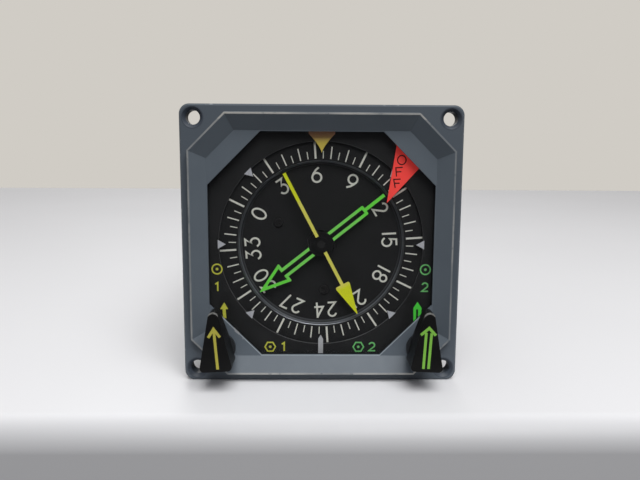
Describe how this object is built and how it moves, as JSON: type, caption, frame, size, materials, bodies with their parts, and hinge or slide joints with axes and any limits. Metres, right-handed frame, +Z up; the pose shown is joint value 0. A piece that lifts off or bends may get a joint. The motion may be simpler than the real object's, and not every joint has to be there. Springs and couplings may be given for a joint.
{
  "type": "radio magnetic indicator",
  "caption": "Square panel instrument: rotating compass card, single and double bearing pointers, warning flag, selector knobs and a long case with a rear connector.",
  "frame": {"origin": "centre of the four panel screws, on the back face of the bezel's flange", "axes": "+Y runs from the dial to the rear connector, +Z is up when the dial is upright, and +X is to the right of someone who reads the dial"},
  "size_m": [0.0828, 0.206, 0.0828],
  "materials": {
    "bezel_paint": "worn semi-gloss grey-blue enamel",
    "seal_rubber": "black moulded rubber",
    "window_glass": "clear polished glass",
    "dial_black": "matt black dial paint",
    "lubber_orange": "orange paint that fades to yellow at the tip",
    "mark_white": "light grey paint",
    "alloy": "machined light alloy",
    "steel": "turned steel",
    "black_steel": "blackened steel",
    "brass": "cut and turned brass",
    "lamp_glass": "clear lamp bulbs",
    "switch_plastic": "moulded phenolic",
    "copper": "enamelled copper winding in a cup",
    "unit_alloy": "turned alloy synchro body",
    "motor_black": "black lacquered motor body",
    "rotor_stack": "laminated rotor with lacquered winding",
    "board_green": "glass-fibre circuit board with its components",
    "transformer_lacquer": "varnished core and winding",
    "case_paint": "semi-gloss black case enamel",
    "connector_olive": "olive plated connector shell",
    "connector_insert": "moulded insulator",
    "gold_pins": "gold-plated contact pins",
    "pointer_yellow": "fluorescent yellow paint with a black centre",
    "pointer_green": "fluorescent green paint with a black hub",
    "flag_red": "fluorescent red paint",
    "knob_black": "moulded black plastic with a filled arrow"
  },
  "bodies": {
    "housing": {"bezel": "bezel_paint", "window_seal": "seal_rubber", "window_glass": "window_glass", "spacer_frame": "dial_black", "mask_plate": "dial_black", "lubber_mark": "lubber_orange", "lower_mark": "mark_white", "front_frame": "alloy", "frame_screws": "steel", "dial_lamps": "lamp_glass", "knob_bushings": "brass", "left_switch": "switch_plastic", "right_switch": "switch_plastic", "front_posts": "alloy", "bearing_plate": "alloy", "card_bearing": "steel", "bearing_balls": "steel", "idler_bush": "brass", "flag_coil": "copper", "front_synchro_body": "unit_alloy", "front_synchro_cap": "unit_alloy", "middle_plate": "alloy", "rear_synchro_body": "unit_alloy", "rear_synchro_cap": "unit_alloy", "mechanism_posts": "alloy", "end_plate": "alloy", "heading_synchro_body": "unit_alloy", "servo_motor_body": "motor_black", "board_rails": "alloy", "left_board": "board_green", "right_board": "board_green", "transformer": "transformer_lacquer", "case_tube": "case_paint", "case_screws": "steel", "rear_gasket": "seal_rubber", "rear_cover": "case_paint", "connector_shell": "connector_olive", "connector_insert": "connector_insert", "connector_pins": "gold_pins", "connector_screws": "steel"},
    "card": {"compass_card": "dial_black", "card_screws": "black_steel", "card_hub": "alloy", "card_gear": "brass"},
    "double_bearing": {"double_pointer": "pointer_green", "hollow_shaft": "steel", "front_synchro_rotor": "rotor_stack"},
    "single_bearing": {"single_pointer": "pointer_yellow", "inner_shaft": "steel", "rear_synchro_rotor": "rotor_stack"},
    "flag": {"off_flag": "flag_red", "flag_staff": "steel"},
    "left_selector": {"left_knob": "knob_black", "left_knob_shaft": "steel"},
    "right_selector": {"right_knob": "knob_black", "right_knob_shaft": "steel"},
    "idler": {"idler_gears": "brass"},
    "motor": {"motor_rotor": "rotor_stack"},
    "heading": {"heading_gear": "brass", "heading_rotor": "rotor_stack"}
  },
  "joints": [
    {"name": "card_turn", "type": "hinge", "parent": "housing", "child": "card", "pos_m": [0, 0, 0], "axis": [0, 1, 0], "continuous": true},
    {"name": "double_pointer_turn", "type": "hinge", "parent": "housing", "child": "double_bearing", "pos_m": [0, 0, 0], "axis": [0, 1, 0], "continuous": true},
    {"name": "single_pointer_turn", "type": "hinge", "parent": "housing", "child": "single_bearing", "pos_m": [0, 0, 0], "axis": [0, 1, 0], "continuous": true},
    {"name": "flag_swing", "type": "hinge", "parent": "housing", "child": "flag", "pos_m": [0.02204, 0, 0.0325], "axis": [0, -1, 0], "range_deg": [0, 50]},
    {"name": "left_knob_turn", "type": "hinge", "parent": "housing", "child": "left_selector", "pos_m": [-0.03032, 0, -0.03032], "axis": [0, 1, 0], "range_deg": [0, 90]},
    {"name": "right_knob_turn", "type": "hinge", "parent": "housing", "child": "right_selector", "pos_m": [0.03032, 0, -0.03032], "axis": [0, -1, 0], "range_deg": [0, 90]},
    {"name": "idler_turn", "type": "hinge", "parent": "housing", "child": "idler", "pos_m": [0.01699, 0, -0.00792], "axis": [0, 1, 0], "continuous": true},
    {"name": "motor_turn", "type": "hinge", "parent": "housing", "child": "motor", "pos_m": [0.02664, 0, 0.00357], "axis": [0, 1, 0], "continuous": true},
    {"name": "heading_turn", "type": "hinge", "parent": "housing", "child": "heading", "pos_m": [-0.02121, 0, 0.02121], "axis": [0, 1, 0], "continuous": true}
  ],
  "couplings": [
    {"joint": "heading_turn", "follows": "card_turn", "ratio": -1},
    {"joint": "idler_turn", "follows": "card_turn", "ratio": -4},
    {"joint": "motor_turn", "follows": "card_turn", "ratio": 12}
  ]
}
